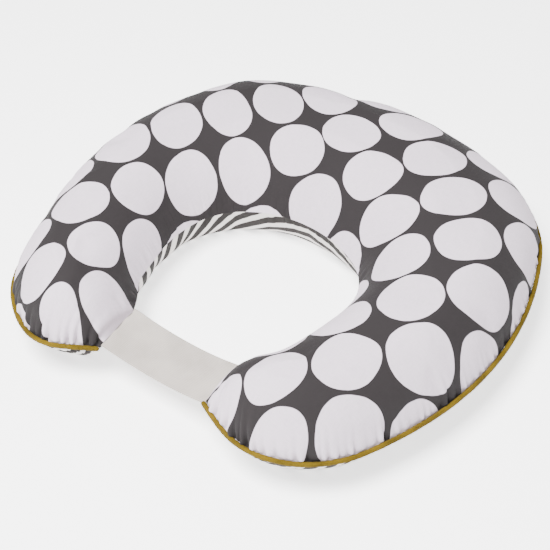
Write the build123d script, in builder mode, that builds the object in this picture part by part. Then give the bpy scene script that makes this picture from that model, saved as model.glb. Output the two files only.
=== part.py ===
"""Nursing pillow: a C-shaped stuffed cushion in a zipped two-panel cover, with an elastic band.

Millimetres. +Z is up, +Y is the closed back and the pillow opens towards -Y. The origin is the
centre of the pillow's box, on the surface it rests on. The pillow mirrors about X = 0, apart from
its zip slider and its label.

Every layer of the cushion is a stack of C-shaped outlines at rising heights, lofted together. An
outline is the cover's plan at its seam, inset by so much from the outside edge and from the waist.
"""

import os
from math import cos, radians, sin

from build123d import *

# Plan of the cover at its seam, right half. Each chain starts on the centre line and turns
# clockwise through arcs of (radius, degrees). In an inset outline a tip's point moves in along X
# by tip_share of the inset, and the last waist arc stops waist_trim degrees sooner per mm of it.
back_y = 276.2
outer_arcs = ((400.0, 25.0), (160.0, 42.0), (450.0, 48.0), (115.0, 80.0))
back_width = 234.0
waist_arcs = ((155.0, 32.0), (76.0, 53.0), (210.0, 42.0))
tip_x = 71.0
tip_share = 0.75
waist_trim = 0.2

# Heights of the cushion.
total_height = 122.0
seam_z = 52.0

# Profile of the top, from the seam to the crest, and of the base, from the seam to its flat.
crest_inset = 75.0
top_roundness = 2.5
top_fullness = 0.69
top_steps = (1.0, 0.97, 0.9, 0.75, 0.5, 0.25, 0.0)
base_outer_inset = 38.0
base_waist_inset = 26.0
base_fullness = 1.5
base_steps = (1.0, 0.8, 0.55, 0.3, 0.0)

# Fabric thicknesses, and the depths of what is folded into the seam.
cover_thickness = 1.0
liner_thickness = 0.6
layer_gap = 0.5
filling_gap = 0.6
seam_gap = 1.2
allowance_thickness = 0.8
allowance_depth = 9.0
liner_seam_depth = 12.0
zip_room = 4.0
liner_crest_room = 1.2
filling_crest_room = 2.6

# Piping along the outer seam.
piping_radius = 2.5
piping_cord_radius = 1.6
piping_flange_thickness = 0.8
piping_flange_depth = 8.0

# Elastic band between the two tips.
band_width = 66.0
band_thickness = 1.2
band_sag = 7.0
band_tuck = 6.0
band_middle_y = -221.0

# Zip, set in the base panel under the piping, along the back arc. Across the zip, w runs up the
# wall from the middle of the zip, and n runs out of the wall.
zip_t = 0.72
zip_tilt = 60.0
zip_half_angle = 20.5
zip_half_width = 14.0
coil_half_angle = 19.6
coil_edge = 3.2
coil_parting = 0.8
coil_inside = 0.6
coil_outside = 1.6
wall_cut_depth = 5.0
slider_angle = 18.4

# Slider: two plates joined by a neck, with a bridge that holds the puller.
slider_length = 12.0
slider_half_width = 4.8
slider_plate = 1.4
slider_clearance = 0.4
slider_corner_radius_share = 0.25
slider_lip = 0.8
slider_lip_length = 9.6
neck_length = 5.0
neck_thickness = 0.9
bridge_length = 7.0
bridge_width = 2.2
bridge_height = 3.3
bridge_wall = 0.9

# Puller: a tab on a bar that turns in the slider's bridge.
puller_bar_radius = 0.65
puller_bar_length = 5.6
puller_arm_width = 1.2
puller_length = 26.0
puller_width = 7.0
puller_thickness = 1.3
puller_corner_radius = 2.8

# Care label, sewn into the seam beside the zip.
label_angle = 23.6
label_spread = 3.0
label_thickness = 0.4
label_bottom_w = -8.0
label_top_w = 19.0

waist_back_y = back_y - back_width
back_radius = outer_arcs[0][0]
back_centre = (0, back_y - back_radius, 0)
back_axis = Axis(back_centre, (0, 0, 1))
top_edge_z = seam_z + seam_gap / 2
base_edge_z = seam_z - seam_gap / 2
groove_top_z = top_edge_z + allowance_thickness + layer_gap
groove_base_z = base_edge_z - allowance_thickness - layer_gap
liner_skin = cover_thickness + layer_gap
filling_skin = liner_skin + liner_thickness + filling_gap
filling_groove_top_z = groove_top_z + liner_thickness + filling_gap
filling_groove_base_z = groove_base_z - liner_thickness - filling_gap

os.makedirs("parts", exist_ok=True)


def arc_chain(start, arcs, grow):
    """Draws tangent arcs that turn clockwise from start, and returns the end and its heading."""
    point = Vector(*start)
    heading = Vector(1, 0)
    for radius, turn in arcs:
        arc = JernArc(start=point, tangent=heading, radius=radius + grow, arc_size=-turn)
        point = arc @ 1
        heading = arc % 1
    return point, heading


def trimmed_waist(inset):
    """The waist's arcs, with the last one cut short for an outline at this inset."""
    radius, turn = waist_arcs[-1]
    return waist_arcs[:-1] + ((radius, turn - waist_trim * inset),)


def tip_point(end, heading, inset):
    """Where the straight edge of a tip, which carries on from the outer arcs, reaches the band."""
    reach = (tip_x + tip_share * inset - end.X) / heading.X
    return end + heading * reach


def pillow_outline(level, outer_inset, waist_inset):
    """C-shaped face at a level: the plan inset from its outside edge and from its waist."""
    with BuildSketch(Plane.XY.offset(level)) as outline:
        with BuildLine() as edge:
            end, heading = arc_chain((0, back_y - outer_inset), outer_arcs, -outer_inset)
            corner = tip_point(end, heading, outer_inset)
            Line(end, corner)
            waist_end, _ = arc_chain(
                (0, waist_back_y + waist_inset), trimmed_waist(waist_inset), waist_inset
            )
            Line(corner, waist_end)
            Line((0, waist_back_y + waist_inset), (0, back_y - outer_inset))
        make_face(edge.edges())
        mirror(about=Plane.YZ)
    return outline.sketch


def top_levels(skin, low_z, crest_room=0.0):
    """Levels of the top as (z, outer inset, waist inset), at a depth of skin under the cover."""
    rise = total_height - skin - crest_room - low_z
    for step in top_steps:
        inset = skin + (crest_inset - skin) * (1 - step)
        yield low_z + rise * (1 - step**top_roundness) ** top_fullness, inset, inset


def base_levels(skin, high_z, outer_room=0.0):
    """Levels of the base as (z, outer inset, waist inset), at a depth of skin under the cover."""
    for step in base_steps:
        level = skin + (high_z - skin) * step**base_fullness
        outer_inset = skin + outer_room + base_outer_inset * (1 - step)
        yield level, outer_inset, skin + base_waist_inset * (1 - step)


def loft_levels(levels, mode=Mode.ADD, ruled=False):
    """Lofts the pillow's outline through the given levels, smoothly or in straight bands."""
    loft([pillow_outline(*level) for level in levels], ruled=ruled, mode=mode)


def slab(low_z, high_z, inset, mode=Mode.ADD):
    """Flat slab of the pillow's plan, at one inset all round."""
    extrude(pillow_outline(low_z, inset, inset), amount=high_z - low_z, mode=mode)


def seam_ring(low_z, high_z, outside_inset, inside_inset):
    """Flat C-shaped frame that follows the seam, between two insets from it."""
    outside = pillow_outline(low_z, outside_inset, outside_inset)
    inside = pillow_outline(low_z, inside_inset, inside_inset)
    extrude(outside - inside, amount=high_z - low_z)


def base_shell():
    """Wall of the base panel, from the flat that it rests on up to the seam."""
    loft_levels(base_levels(0, base_edge_z))
    loft_levels(base_levels(cover_thickness, base_edge_z), mode=Mode.SUBTRACT)


def radial_plane(angle):
    """Upright plane through the back arc's axis, at an angle from +Y towards +X: x is the radius."""
    outwards = (sin(radians(angle)), cos(radians(angle)), 0)
    return Plane(back_centre, x_dir=outwards, z_dir=(cos(radians(angle)), -sin(radians(angle)), 0))


def wall_plane(angle):
    """Cross-section plane of the zip at an angle: x is n, out of the wall, and y is w, up it."""
    upright = radial_plane(angle)
    radius = back_radius - base_outer_inset * (1 - zip_t)
    level = base_edge_z * zip_t**base_fullness
    origin = upright.from_local_coords(Vector(radius, level))
    n_dir = upright.x_dir * sin(radians(zip_tilt)) - Vector(0, 0, 1) * cos(radians(zip_tilt))
    return Plane(origin, x_dir=n_dir, z_dir=upright.z_dir)


def wall_strip(angle, spread, w_low, w_high, n_low, n_high, mode=Mode.ADD):
    """Strip along the back wall: a rectangle across the zip, turned from angle through spread."""
    with BuildSketch(wall_plane(angle)) as section:
        with Locations(((n_low + n_high) / 2, (w_low + w_high) / 2)):
            Rectangle(n_high - n_low, w_high - w_low)
    revolve(section.sketch, axis=back_axis, revolution_arc=spread, mode=mode)


def slider_plane():
    """Plane of the zip at the slider: x is s, along the zip, y is w and z is n."""
    across = wall_plane(slider_angle)
    return Plane(across.origin, x_dir=-across.z_dir, z_dir=across.x_dir)


# The stuffing: one mass that fills the liner, grooved where the seam's allowances fold inwards.
with BuildPart() as filling:
    loft_levels(top_levels(filling_skin, filling_groove_top_z, filling_crest_room), ruled=True)
    loft_levels(
        base_levels(filling_skin, filling_groove_base_z, zip_room + filling_gap), ruled=True
    )
    slab(filling_groove_base_z, filling_groove_top_z, liner_seam_depth + filling_gap)
filling.part.label = "filling"
export_step(filling.part, "parts/filling.step")

# The liner that holds the stuffing: two halves, whose seam lies inside the cover's own.
with BuildPart() as liner_top:
    loft_levels(top_levels(liner_skin, groove_top_z, liner_crest_room), ruled=True)
    loft_levels(
        top_levels(liner_skin + liner_thickness, groove_top_z, liner_crest_room),
        Mode.SUBTRACT,
        ruled=True,
    )
    seam_ring(groove_top_z, groove_top_z + liner_thickness, liner_skin, liner_seam_depth)
liner_top.part.label = "liner_top"
export_step(liner_top.part, "parts/liner_top.step")

with BuildPart() as liner_base:
    loft_levels(base_levels(liner_skin, groove_base_z, zip_room), ruled=True)
    loft_levels(
        base_levels(liner_skin + liner_thickness, groove_base_z, zip_room),
        Mode.SUBTRACT,
        ruled=True,
    )
    seam_ring(
        groove_base_z - liner_thickness,
        groove_base_z,
        liner_skin + zip_room,
        liner_seam_depth,
    )
    seam_ring(groove_base_z, groove_top_z, allowance_depth + layer_gap, liner_seam_depth)
liner_base.part.label = "liner_base"
export_step(liner_base.part, "parts/liner_base.step")

# The cover: a printed top panel and a striped base panel. Each one's edge turns inwards at the
# seam, as its sewn allowance, and the piping and the band are held between the two.
with BuildPart() as top_panel:
    loft_levels(top_levels(0, top_edge_z))
    loft_levels(top_levels(cover_thickness, top_edge_z), Mode.SUBTRACT)
    seam_ring(top_edge_z, top_edge_z + allowance_thickness, cover_thickness / 2, allowance_depth)
top_panel.part.label = "top_panel"
export_step(top_panel.part, "parts/top_panel.step")

with BuildPart() as base_panel:
    base_shell()
    seam_ring(
        base_edge_z - allowance_thickness, base_edge_z, cover_thickness / 2, allowance_depth
    )
    wall_strip(
        zip_half_angle,
        2 * zip_half_angle,
        -zip_half_width,
        zip_half_width,
        -wall_cut_depth,
        wall_cut_depth,
        Mode.SUBTRACT,
    )
base_panel.part.label = "base_panel"
export_step(base_panel.part, "parts/base_panel.step")


def piping_section(outer_radius, inner_radius, flange_depth):
    """Cross-section of the piping at the middle of the back, with a flange towards the pillow."""
    start = (0, back_y + piping_radius, seam_z)
    with BuildSketch(Plane(start, x_dir=(0, -1, 0), z_dir=(1, 0, 0))) as section:
        if flange_depth > 0:
            with Locations(((piping_radius + flange_depth) / 2, 0)):
                Rectangle(piping_radius + flange_depth, piping_flange_thickness)
        Circle(outer_radius)
        if inner_radius > 0:
            Circle(inner_radius, mode=Mode.SUBTRACT)
    return section.sketch


def piping_route():
    """Right half of the piping's line: along the outside of the seam, to where the band begins."""
    with BuildLine(Plane.XY.offset(seam_z)) as route:
        end, heading = arc_chain((0, back_y + piping_radius), outer_arcs, piping_radius)
        Line(end, tip_point(end, heading, -piping_radius))
    return route.line


def piping(outer_radius, inner_radius, flange_depth):
    """Sweeps the piping along both halves of the outer seam."""
    sweep(piping_section(outer_radius, inner_radius, flange_depth), path=piping_route())
    mirror(about=Plane.YZ)


# The piping: a cord inside a folded strip of fabric, whose two edges lie together in the seam.
with BuildPart() as piping_cover:
    piping(piping_radius, piping_cord_radius, piping_flange_depth)
piping_cover.part.label = "piping_cover"
export_step(piping_cover.part, "parts/piping_cover.step")

with BuildPart() as piping_cord:
    piping(piping_cord_radius, 0, 0)
piping_cord.part.label = "piping_cord"
export_step(piping_cord.part, "parts/piping_cord.step")

# The band: woven elastic from tip to tip, tucked into the seam at both ends.
with BuildPart() as elastic_band:
    with BuildSketch(Plane.XZ.offset(-band_middle_y)) as band_section:
        with BuildLine() as band_edge:
            for surface_z in (seam_z - band_thickness / 2, seam_z + band_thickness / 2):
                ThreePointArc(
                    (-tip_x, surface_z), (0, surface_z - band_sag), (tip_x, surface_z)
                )
                Line((-tip_x - band_tuck, surface_z), (-tip_x, surface_z))
                Line((tip_x, surface_z), (tip_x + band_tuck, surface_z))
            for end_x in (-tip_x - band_tuck, tip_x + band_tuck):
                Line((end_x, seam_z - band_thickness / 2), (end_x, seam_z + band_thickness / 2))
        make_face()
    extrude(amount=band_width / 2, both=True)
elastic_band.part.label = "elastic_band"
export_step(elastic_band.part, "parts/elastic_band.step")

# The zip: two tapes set into the base panel's wall, a coil along the edge of each, and two stops.
for side, w_sign in (("upper", 1), ("lower", -1)):
    w_edges = sorted((w_sign * coil_edge, w_sign * zip_half_width))
    with BuildPart() as zip_tape:
        base_shell()
        wall_strip(
            zip_half_angle,
            2 * zip_half_angle,
            *w_edges,
            -wall_cut_depth,
            wall_cut_depth,
            Mode.INTERSECT,
        )
    zip_tape.part.label = "zip_tape_" + side
    export_step(zip_tape.part, "parts/zip_tape_" + side + ".step")

    w_edges = sorted((w_sign * coil_parting, w_sign * coil_edge))
    with BuildPart() as zip_coil:
        wall_strip(coil_half_angle, 2 * coil_half_angle, *w_edges, -coil_inside, coil_outside)
    zip_coil.part.label = "zip_coil_" + side
    export_step(zip_coil.part, "parts/zip_coil_" + side + ".step")

with BuildPart() as zip_end_stops:
    stop_spread = zip_half_angle - coil_half_angle
    for stop_angle in (zip_half_angle, -coil_half_angle):
        wall_strip(stop_angle, stop_spread, -coil_edge, coil_edge, -coil_inside, coil_outside)
zip_end_stops.part.label = "zip_end_stops"
export_step(zip_end_stops.part, "parts/zip_end_stops.step")


def slider_block(length, width, n_low, n_high, w=0.0, mode=Mode.ADD):
    """Block of the slider across the zip's line, centred at w."""
    with BuildSketch(slider_plane().offset(n_low)) as block:
        with Locations((0, w)):
            RectangleRounded(length, width, min(length, width) * slider_corner_radius_share)
    extrude(block.sketch, amount=n_high - n_low, mode=mode)


# The slider: an inner and an outer plate joined by a neck between the coils, with a lip down each
# side of the outer plate and a bridge on top.
plate_bottom_n = coil_outside + slider_clearance
plate_top_n = plate_bottom_n + slider_plate
inner_plate_top_n = -cover_thickness - slider_clearance
inner_plate_bottom_n = inner_plate_top_n - slider_plate
with BuildPart() as zip_slider:
    slider_block(slider_length, 2 * slider_half_width, plate_bottom_n, plate_top_n)
    slider_block(slider_length, 2 * slider_half_width, inner_plate_bottom_n, inner_plate_top_n)
    slider_block(neck_length, neck_thickness, inner_plate_top_n, plate_bottom_n)
    lip_w = slider_half_width - slider_lip / 2
    for w_side in (-lip_w, lip_w):
        slider_block(slider_lip_length, slider_lip, slider_clearance, plate_bottom_n, w_side)
    slider_block(bridge_length, bridge_width, plate_top_n, plate_top_n + bridge_height)
    slider_block(
        bridge_length - 2 * bridge_wall,
        2 * bridge_width,
        plate_top_n,
        plate_top_n + bridge_height - bridge_wall,
        mode=Mode.SUBTRACT,
    )
zip_slider.part.label = "zip_slider"
export_step(zip_slider.part, "parts/zip_slider.step")

# The puller: it lies along the closed zip and turns about the bar under the bridge.
puller_axis_n = plate_top_n + (bridge_height - bridge_wall) / 2
puller_plane = slider_plane().offset(puller_axis_n)
with BuildPart() as zip_puller:
    with BuildSketch(puller_plane) as tab:
        with Locations((puller_length / 2, 0)):
            RectangleRounded(puller_length, puller_width, puller_corner_radius)
        with Locations((bridge_length / 2, 0)):
            Rectangle(bridge_length, puller_bar_length - 2 * puller_arm_width, mode=Mode.SUBTRACT)
    extrude(amount=puller_thickness / 2, both=True)
    with BuildSketch(Plane(puller_plane.origin, x_dir=puller_plane.x_dir, z_dir=puller_plane.y_dir)):
        Circle(puller_bar_radius)
    extrude(amount=puller_bar_length / 2, both=True)
zip_puller.part.label = "zip_puller"
export_step(zip_puller.part, "parts/zip_puller.step")

# The care label: a blank tab that hangs from the outer seam beside the zip.
with BuildPart() as care_label:
    wall_strip(
        -label_angle + label_spread / 2,
        label_spread,
        label_bottom_w,
        label_top_w,
        layer_gap,
        layer_gap + label_thickness,
    )
care_label.part.label = "care_label"
export_step(care_label.part, "parts/care_label.step")
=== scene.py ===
"""Looks of the nursing pillow: an inflated two-panel cover with printed cotton, mustard piping along
the outer seam, an elastic band across the open side and a zip under the piping at the back.

Metres, in the CAD's frame: +Z is up, +Y is the closed back, and the pillow opens towards -Y.
"""
import math

import bmesh
import bpy
import numpy as np
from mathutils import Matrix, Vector, noise
from numpy.linalg import norm


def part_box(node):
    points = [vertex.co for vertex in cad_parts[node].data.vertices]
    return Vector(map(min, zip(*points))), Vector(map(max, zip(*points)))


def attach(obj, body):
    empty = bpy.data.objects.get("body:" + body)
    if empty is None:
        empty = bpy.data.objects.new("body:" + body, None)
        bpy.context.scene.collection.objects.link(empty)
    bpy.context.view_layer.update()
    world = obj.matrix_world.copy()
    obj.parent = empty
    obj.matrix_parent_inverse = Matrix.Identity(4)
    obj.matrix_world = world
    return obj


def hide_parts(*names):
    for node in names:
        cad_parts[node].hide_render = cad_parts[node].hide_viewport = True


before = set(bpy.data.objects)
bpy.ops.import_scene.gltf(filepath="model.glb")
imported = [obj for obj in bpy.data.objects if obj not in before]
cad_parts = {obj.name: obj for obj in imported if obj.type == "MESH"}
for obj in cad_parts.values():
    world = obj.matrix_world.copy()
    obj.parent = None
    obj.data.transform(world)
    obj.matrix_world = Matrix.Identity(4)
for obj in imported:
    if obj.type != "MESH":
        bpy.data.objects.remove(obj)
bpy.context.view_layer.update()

# The pillow's plan, as in the CAD: arcs of (radius, degrees) that turn clockwise from the back.
OUTER_ARCS = ((0.400, 25.0), (0.160, 42.0), (0.450, 48.0), (0.115, 80.0))
WAIST_ARCS = ((0.155, 32.0), (0.076, 53.0), (0.210, 42.0))
BACK_WIDTH = 0.234
PANEL_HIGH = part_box("top_panel")[1]
BASE_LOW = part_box("base_panel")[0]
CORD_LOW, CORD_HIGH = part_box("piping_cord")
BAND_LOW, BAND_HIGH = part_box("elastic_band")
PIPING_LOW, PIPING_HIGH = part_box("piping_cover")
BACK_Y = PANEL_HIGH.y
SEAM_Z = (CORD_LOW.z + CORD_HIGH.z) / 2
CREST_Z = PANEL_HIGH.z
FLOOR_Z = BASE_LOW.z
TIP_X = 0.071
LINE_SPACING = 0.001
PIPING_PLUMPNESS = 1.14
PIPING_RADIUS = PIPING_PLUMPNESS * (PIPING_HIGH.z - PIPING_LOW.z) / 2

# Profile of the cushion, with room for the top to swell. Near a seam or tip the top rises as a
# superellipse. The base falls as a power, over its runs from the outer seam, the waist's and the tip.
SWELL_ROOM = 0.002
TOP_RISE = CREST_Z - SEAM_Z - SWELL_ROOM
TOP_ROUNDNESS = 2.4
TOP_FULLNESS = 0.66
TIP_RUN = 0.072
TIP_FULLNESS = 0.62
BASE_RUNS = (0.040, 0.027, 0.045)
BASE_FULLNESS = 1.5
BASE_BLEND = 3

# How the stuffed arms settle unevenly, as (place along the C from -1 to 1, spread, metres away from
# the waist), for the outer seam and for the waist seam. Then how far the tips' corners move in y, as
# (left, right), and the place along the C where that starts.
OUTER_EASE = ((-0.58, 0.16, -0.014), (-0.88, 0.08, 0.010), (0.42, 0.20, 0.008))
WAIST_EASE = ((-0.30, 0.14, -0.006), (-0.78, 0.10, 0.005), (0.78, 0.12, 0.010))
OUTER_TIP_DRAW = (0.007, 0.012)
WAIST_TIP_DRAW = (-0.009, -0.004)
TIP_DRAW_FROM = 0.80

# Mesh resolution: columns along half of the C, closer near the tip, and rows across it, as shares of
# an even spread and of one that is closer near the seams.
COLUMNS = 200
ROWS = 60
COLUMN_CROWDING = 0.13
ROW_SPREAD = (0.45, 0.55)

# How much of the rise across a panel its cloth takes up; the rest is eased in along the seam.
RISE_LET_OUT = 0.6


def arc_points(start_y, arcs):
    """Points along tangent arcs that turn clockwise from (0, start_y), and the last heading."""
    points = [np.array([[0.0, start_y]])]
    heading = 0.0
    for radius, degrees in arcs:
        turn = math.radians(degrees)
        centre = points[-1][-1] - radius * np.array([math.sin(heading), math.cos(heading)])
        count = int(radius * turn / LINE_SPACING)
        angles = heading + turn * np.arange(1, count + 1) / count
        points.append(centre + radius * np.stack([np.sin(angles), np.cos(angles)], -1))
        heading += turn
    return np.concatenate(points), np.array([math.cos(heading), -math.sin(heading)])


def outer_line():
    """Right half of the outer seam, from the back to the tip's point."""
    points, heading = arc_points(BACK_Y, OUTER_ARCS)
    reach = (TIP_X - points[-1, 0]) / heading[0]
    steps = np.linspace(0, reach, 40)[1:, None]
    return np.concatenate([points, points[-1] + steps * heading])


def waist_line():
    """Right half of the waist seam, from the back to the band's inner edge."""
    return arc_points(BACK_Y - BACK_WIDTH, WAIST_ARCS)[0]


def lengths_along(line):
    """Length along a line to each of its points."""
    return np.concatenate([[0], np.cumsum(norm(np.diff(line, axis=0), axis=1))])


def resample(points, fractions):
    """Points at the given fractions of a line's length."""
    lengths = lengths_along(points)
    wanted = fractions * lengths[-1]
    return np.stack([np.interp(wanted, lengths, points[:, axis]) for axis in range(points.shape[1])], -1)


def distance_to(points, line):
    """Distance in plan from each point to a line of short segments."""
    starts, steps = line[:-1], np.diff(line, axis=0)
    lengths = (steps**2).sum(-1)
    flat = points.reshape(-1, 2)
    nearest = np.empty(len(flat))
    for first in range(0, len(flat), 2000):
        gaps = flat[first : first + 2000, None, :] - starts
        shares = np.clip((gaps * steps).sum(-1) / lengths, 0, 1)
        gaps -= shares[..., None] * steps
        nearest[first : first + 2000] = np.sqrt((gaps**2).sum(-1).min(1))
    return nearest.reshape(points.shape[:-1])


def plan_grid():
    """Plan of the right half as [column, row, xy], and its distances to outside, waist and band."""
    along = np.linspace(0, 1, COLUMNS + 1)
    along = along + COLUMN_CROWDING * np.sin(np.pi * along)
    across = np.linspace(0, 1, ROWS + 1)
    crowded = (1 - np.cos(np.pi * across)) / 2
    across = ROW_SPREAD[0] * across + ROW_SPREAD[1] * crowded
    outside, waist = outer_line(), waist_line()
    outer_points = resample(outside, along)
    waist_points = resample(waist, along)
    share = across[None, :, None]
    plan = outer_points[:, None, :] * (1 - share) + waist_points[:, None, :] * share
    tip_edge = np.linspace(0, 1, 100)[:, None]
    tip_edge = outside[-1] * (1 - tip_edge) + waist[-1] * tip_edge
    return plan, distance_to(plan, outside), distance_to(plan, waist), distance_to(plan, tip_edge)


def top_heights(to_outside, to_waist, to_tip):
    """Height of the top panel over its seam."""
    offset = np.abs(to_outside - to_waist) / np.maximum(to_outside + to_waist, 1e-9)
    across = np.clip(1 - offset**TOP_ROUNDNESS, 0, 1) ** TOP_FULLNESS
    closeness = 1 - np.clip(to_tip / TIP_RUN, 0, 1)
    along = np.clip(1 - closeness**TOP_ROUNDNESS, 0, 1) ** TIP_FULLNESS
    return TOP_RISE * across * along


def base_heights(to_outside, to_waist, to_tip):
    """Height of the base panel over the floor."""
    total = 0
    for distance, run in zip((to_outside, to_waist, to_tip), BASE_RUNS):
        total = total + (np.clip(1 - distance / run, 0, 1) ** BASE_FULLNESS) ** BASE_BLEND
    return (SEAM_Z - FLOOR_Z) * np.clip(total, 0, 1) ** (1 / BASE_BLEND)


def flat_pattern(surface):
    """Where each point of an inflated panel lies on its flat cloth: the rise across it, let out flat."""
    plan = surface[..., :2]
    steps = np.diff(surface, axis=1)
    plan_steps = steps[..., :2]
    plan_lengths = norm(plan_steps, axis=-1)
    extra = RISE_LET_OUT * (norm(steps, axis=-1) - plan_lengths)
    direction = plan_steps / np.maximum(plan_lengths, 1e-9)[..., None]
    gain = np.cumsum(direction * extra[..., None], axis=1)
    gain = np.concatenate([np.zeros_like(gain[:, :1]), gain], axis=1)
    return plan + gain - gain[:, [gain.shape[1] // 2]]


def whole(half):
    """Both halves of a [column, row, ...] grid, from the left tip to the right one."""
    left = half[::-1].copy()
    left[..., 0] *= -1
    return np.concatenate([left[:-1], half])


def angles_round(sides):
    """Even angles round a circle, in radians."""
    return np.arange(sides) / sides * math.tau


def normals_of(line):
    """Unit normals of a line in plan, to the left of its direction."""
    steps = np.gradient(line, axis=0)
    return np.stack([-steps[:, 1], steps[:, 0]], -1) / norm(steps, axis=1, keepdims=True)


def settle(grid):
    """Moves a whole grid in plan as the uneven stuffing does."""
    outside, waist = grid[:, 0, :2].copy(), grid[:, -1, :2].copy()
    along = np.linspace(-1, 1, len(grid))
    shares = norm(grid[..., :2] - outside[:, None], axis=-1)
    shares = (shares / norm(waist - outside, axis=-1)[:, None])[..., None]
    draw = np.clip((np.abs(along) - TIP_DRAW_FROM) / (1 - TIP_DRAW_FROM), 0, 1) ** 2
    moves = []
    for line, eases, tip_draw in (
        (outside, OUTER_EASE, OUTER_TIP_DRAW),
        (waist, WAIST_EASE, WAIST_TIP_DRAW),
    ):
        amount = sum(size * np.exp(-(((along - place) / spread) ** 2)) for place, spread, size in eases)
        move = normals_of(line) * amount[:, None]
        move[:, 1] += draw * np.where(along < 0, tip_draw[0], tip_draw[1])
        moves.append(move[:, None])
    grid = grid.copy()
    grid[..., :2] += moves[0] * (1 - shares) + moves[1] * shares
    return grid


def grid_faces(ids, flip):
    """Quads of a grid of vertex numbers, with the other side out if flip is true."""
    corners = [ids[:-1, :-1], ids[:-1, 1:], ids[1:, 1:], ids[1:, :-1]]
    if flip:
        corners.reverse()
    return np.stack(corners, -1).reshape(-1, 4)


def build_shell():
    """The closed cushion: grids of vertex numbers for the top and the base, which share the seam's,
    then the vertex places, the faces and the two grids of places."""
    plan, to_outside, to_waist, to_tip = plan_grid()
    top = np.concatenate([plan, (SEAM_Z + top_heights(to_outside, to_waist, to_tip))[..., None]], -1)
    base = np.concatenate([plan, (FLOOR_Z + base_heights(to_outside, to_waist, to_tip))[..., None]], -1)
    top, base = settle(whole(top)), settle(whole(base))
    columns, rows = top.shape[:2]
    top_ids = np.arange(columns * rows).reshape(columns, rows)
    base_ids = top_ids.copy()
    inner = base_ids[1:-1, 1:-1]
    base_ids[1:-1, 1:-1] = columns * rows + np.arange(inner.size).reshape(inner.shape)
    places = np.concatenate([top.reshape(-1, 3), base[1:-1, 1:-1].reshape(-1, 3)])
    faces = np.concatenate([grid_faces(top_ids, False), grid_faces(base_ids, True)])
    return top_ids, base_ids, places, faces, top, base


def add_object(name, data):
    """A new object in the scene."""
    thing = bpy.data.objects.new(name, data)
    bpy.context.scene.collection.objects.link(thing)
    return thing


def mesh_object(name, places, faces):
    """A mesh object from arrays of places and faces, smooth shaded."""
    mesh = bpy.data.meshes.new(name)
    faces = faces.tolist() if isinstance(faces, np.ndarray) else faces
    mesh.from_pydata(np.asarray(places).tolist(), [], faces)
    mesh.update()
    mesh.polygons.foreach_set("use_smooth", [True] * len(mesh.polygons))
    return add_object(name, mesh)


def turn_faces_out(piece):
    """Makes every face of a closed mesh look outwards."""
    shell = bmesh.new()
    shell.from_mesh(piece.data)
    bmesh.ops.recalc_face_normals(shell, faces=shell.faces)
    shell.to_mesh(piece.data)
    shell.free()


def read_vectors(items, key="vector"):
    """A vector from each of a mesh's items, as an array."""
    values = np.empty(len(items) * 3)
    items.foreach_get(key, values)
    return values.reshape(-1, 3)


def read_places(piece):
    """Vertex places of a piece's mesh."""
    return read_vectors(piece.data.vertices, "co")


# Cushion: cloth under pressure, held at the seam and where it rests, then gathered at the seam.
PRESSURE = 4.0
CLOTH_EXCESS = 0.022
SIM_FRAMES = 20
MOVE_CAP = 0.006
SINK_CAP = 0.002
SMOOTH_PASSES = 8
RESTING_HEIGHT = 0.0006

# Puckers along the seams: (pitch, size, how much the tips add) at the outer seam and at the waist's,
# the height and reach of one of average size, and how it fades by the seam and at the C's two ends.
OUTER_GATHER = (0.0108, 1.5, 1.0)
WAIST_GATHER = (0.0290, 0.6, 0.1)
GATHER_HEIGHT = 0.0027
GATHER_REACH = 0.0105
GATHER_TIP_REACH = 0.16
GATHER_SEAM_FADE = 0.006
GATHER_END_FADE = (0.004, 0.022)
FOLD_SHARPNESS = 0.7
FOLD_LEVEL = 1.3
SMALLEST_FOLD = 0.12

# How far each panel keeps to its own side of the seam's level, from this far from the seam.
SIDE_GAP = 0.0012
SIDE_GAP_FROM = 0.003

# Soft lumps of the stuffing, with finer ones as (share of the height, times as fine), and how far
# from a seam they are at full height.
LUMP_SIZE = 0.075
LUMP_HEIGHT = 0.0016
LUMP_DETAIL = (0.35, 2.7)
LUMP_FADE = 0.02

# How deep the liner and the stuffing lie under the cover, and how far off the seam's level they keep.
BAG_DEPTHS = (("liner_bag", 0.0070), ("stuffing", 0.0110))
BAG_GAP = 0.0003

# The zip's line on the back wall: w runs up the wall and n out of it, from the middle of the zip.
BACK_CENTRE_Y = BACK_Y - OUTER_ARCS[0][0]
ZIP_TILT = math.radians(60.0)
ZIP_SINE, ZIP_COSINE = math.sin(ZIP_TILT), math.cos(ZIP_TILT)
ZIP_LEVEL = 0.0314
ZIP_RADIUS = 0.3894
ZIP_HALF_ANGLE = 19.6
ZIP_STOP_ANGLE = 20.5
ZIP_FOLD_W = 0.0068
ZIP_FOLD_N = 0.0006
ZIP_FOLD_ANGLE = 20.7
ZIP_FOLD_SOFTNESS = (0.0012, 0.15)
ZIP_SINK = 0.0036

# The hem beside the zip, as (w past the fold, half width, height), and the cloth round the zip, which
# lies flat up to the first place in w and in degrees and goes back to its own shape by the second.
ZIP_HEM = (0.0035, 0.0022, 0.0004)
ZIP_FLAT_W = (0.012, 0.021)
ZIP_FLAT_ANGLE = (21.0, 22.2)

# The zip's neighbourhood on the back wall, as half its height and half its angle from a middle angle.
ZIP_AREA = (0.026, 27, -1.2)

# The label hangs beside the zip, on cloth that is pressed in behind it.
LABEL_ANGLE = 23.6
LABEL_FLAT_ANGLE = (2.2, 3.0)
LABEL_FLAT_TOP = 0.020


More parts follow.
